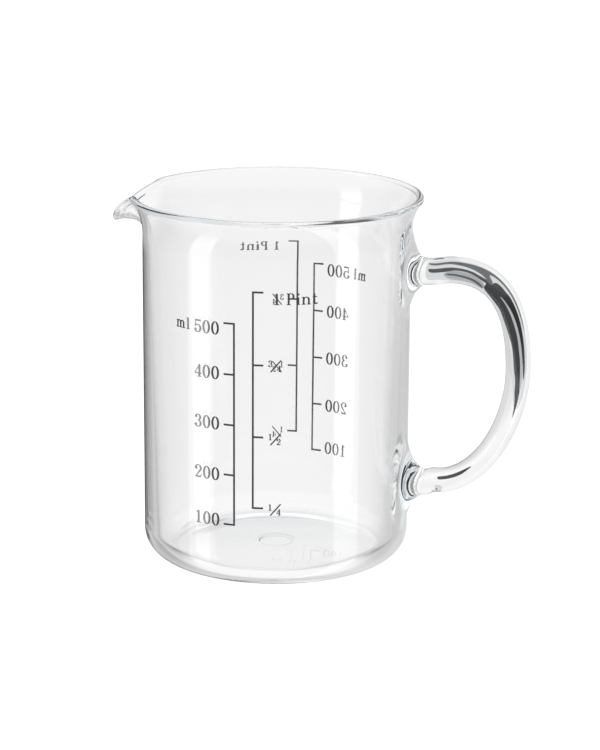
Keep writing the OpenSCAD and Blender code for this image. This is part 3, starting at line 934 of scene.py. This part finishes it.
def stand_upright(name, back, outline_points, azimuth, side):
    """A flat sheet this far behind the handle, or in front of it where side is -1, seen by bent light."""
    ahead = np.array([-math.sin(azimuth), math.cos(azimuth)])
    right = np.array([math.cos(azimuth), math.sin(azimuth)])
    depth = (BODY_R + FINGER_ROOM + MEAN_THICK / 2) * ahead[0] + back
    corners = [(*((depth * ahead + u * right) * (MM, side * MM)), z * MM) for u, z in outline_points]
    mesh = bpy.data.meshes.new(name)
    mesh.from_pydata(corners, [], [tuple(range(len(corners)))])
    sheet = bpy.data.objects.new(name, mesh)
    bpy.context.scene.collection.objects.link(sheet)
    mesh.materials.append(bpy.data.materials.new(name))
    sheet.visible_camera = False
    sheet.visible_diffuse = False
    sheet.visible_shadow = False
    sheet.visible_glossy = False
    return new_nodes(mesh.materials[0])


# Painted refraction streak: a sheet that glows at its level, seen only by light that has passed the handle
# alone.
def painted_streak_card(name, level, back, shape, azimuth, side):
    tree = stand_upright(name, back, rounded(shape), azimuth, side)
    nodes = tree.nodes
    glow = nodes.new("ShaderNodeEmission")
    glow.inputs["Color"].default_value = (*(level * mix(v, 1, level) for v in CARD_TINT), 1)
    clear = nodes.new("ShaderNodeBsdfTransparent")
    path = nodes.new("ShaderNodeLightPath")
    passages = path.outputs["Transmission Depth"]
    seen = math_node(tree, "LESS_THAN", path.outputs["Glossy Depth"], 0.5)
    for test, limit in (("GREATER_THAN", GATED_DEPTH - 0.5), ("LESS_THAN", GATED_DEPTH + 0.5)):
        seen = math_node(tree, "MULTIPLY", seen, math_node(tree, test, passages, limit))
    set_surface(tree, mix_shaders(tree, seen, clear.outputs[0], glow.outputs[0]))


def card_gate(name, azimuth, side):
    tree = stand_upright(name, GATE_BACK, GATE_OUTLINE, azimuth, side)
    nothing = tree.nodes.new("ShaderNodeBsdfRefraction")
    nothing.inputs["IOR"].default_value = 1
    nothing.inputs["Roughness"].default_value = 0
    set_surface(tree, nothing.outputs[0])


TABLE_R, TABLE_SIDES = 6, 96
TABLE_GREY, TABLE_GLOW = (0.55, 0.55, 0.55, 1), 0.66


def floor():
    """A round table that glows a little, so that it comes out white. Bent light doesn't see it."""
    bm = bmesh.new()
    bmesh.ops.create_circle(bm, cap_ends=True, segments=TABLE_SIDES, radius=TABLE_R)
    mesh = bpy.data.meshes.new("table_top")
    bm.to_mesh(mesh)
    bm.free()
    table = bpy.data.objects.new("table_top", mesh)
    bpy.context.scene.collection.objects.link(table)
    material = bpy.data.materials.new("pale_table")
    tree = new_nodes(material)
    nodes, links = tree.nodes, tree.links
    matt = nodes.new("ShaderNodeBsdfDiffuse")
    matt.inputs["Color"].default_value = TABLE_GREY
    glow = nodes.new("ShaderNodeEmission")
    glow.inputs["Strength"].default_value = TABLE_GLOW
    both = nodes.new("ShaderNodeAddShader")
    links.new(matt.outputs[0], both.inputs[0])
    links.new(glow.outputs[0], both.inputs[1])
    clear = nodes.new("ShaderNodeBsdfTransparent")
    path = nodes.new("ShaderNodeLightPath")
    seen = math_node(tree, "MAXIMUM", path.outputs["Is Camera Ray"], path.outputs["Is Diffuse Ray"])
    gone = math_node(tree, "SUBTRACT", 1.0, seen)
    set_surface(tree, mix_shaders(tree, gone, both.outputs[0], clear.outputs[0]))
    mesh.materials.append(material)


KEY_POWER, KEY_SIZE, KEY_DISTANCE = 8, 1.2, 1.6
KEY_BEARING, KEY_ELEVATION = math.radians(-50), math.radians(55)


def key_light():
    data = bpy.data.lights.new("key_light", "AREA")
    data.shape = "DISK"
    data.energy, data.size = KEY_POWER, KEY_SIZE
    piece = bpy.data.objects.new("key_light", data)
    turn = AZIMUTH + KEY_BEARING
    out = Vector((math.sin(turn) * math.cos(KEY_ELEVATION), -math.cos(turn) * math.cos(KEY_ELEVATION),
                  math.sin(KEY_ELEVATION)))
    piece.location = Vector((0, 0, AIM_Z)) + KEY_DISTANCE * out
    piece.rotation_euler = out.to_track_quat("Z", "Y").to_euler()
    piece.visible_glossy = False
    piece.visible_transmission = False
    bpy.context.scene.collection.objects.link(piece)


def camera():
    data = bpy.data.cameras.new("camera")
    data.sensor_width, data.lens = SENSOR, FOCAL_PX / FRAME_H_PX * SENSOR
    piece = bpy.data.objects.new("camera", data)
    bpy.context.scene.collection.objects.link(piece)
    back = Vector((math.cos(ELEVATION) * math.sin(AZIMUTH), -math.cos(ELEVATION) * math.cos(AZIMUTH),
                   math.sin(ELEVATION)))
    right = Vector((math.cos(AZIMUTH), math.sin(AZIMUTH), 0))
    look = Matrix((right, back.cross(right), back)).transposed().to_4x4()
    look = look @ Matrix.Rotation(-YAW, 4, "Y") @ Matrix.Rotation(ROLL, 4, "Z")
    piece.matrix_world = Matrix.Translation(Vector((0, 0, AIM_Z)) + DISTANCE * back) @ look
    bpy.context.scene.camera = piece


BOUNCES, CLEAR_BOUNCES = 40, 24

world_light()
floor()
# The sheets that paint the streaks in the handle, on both sides.
for place_name, azimuth, side in (("rear", AZIMUTH, 1), ("front", 0, -1)):
    card_gate(place_name + "_gate", azimuth, side)
    for card_name, card in STREAK_CARDS.items():
        painted_streak_card(place_name + "_" + card_name, *card, azimuth, side)
key_light()
camera()

scene = bpy.context.scene
scene.view_settings.view_transform = "Standard"
scene.cycles.max_bounces = BOUNCES
scene.cycles.transmission_bounces = BOUNCES
scene.cycles.glossy_bounces = BOUNCES
scene.cycles.transparent_max_bounces = CLEAR_BOUNCES
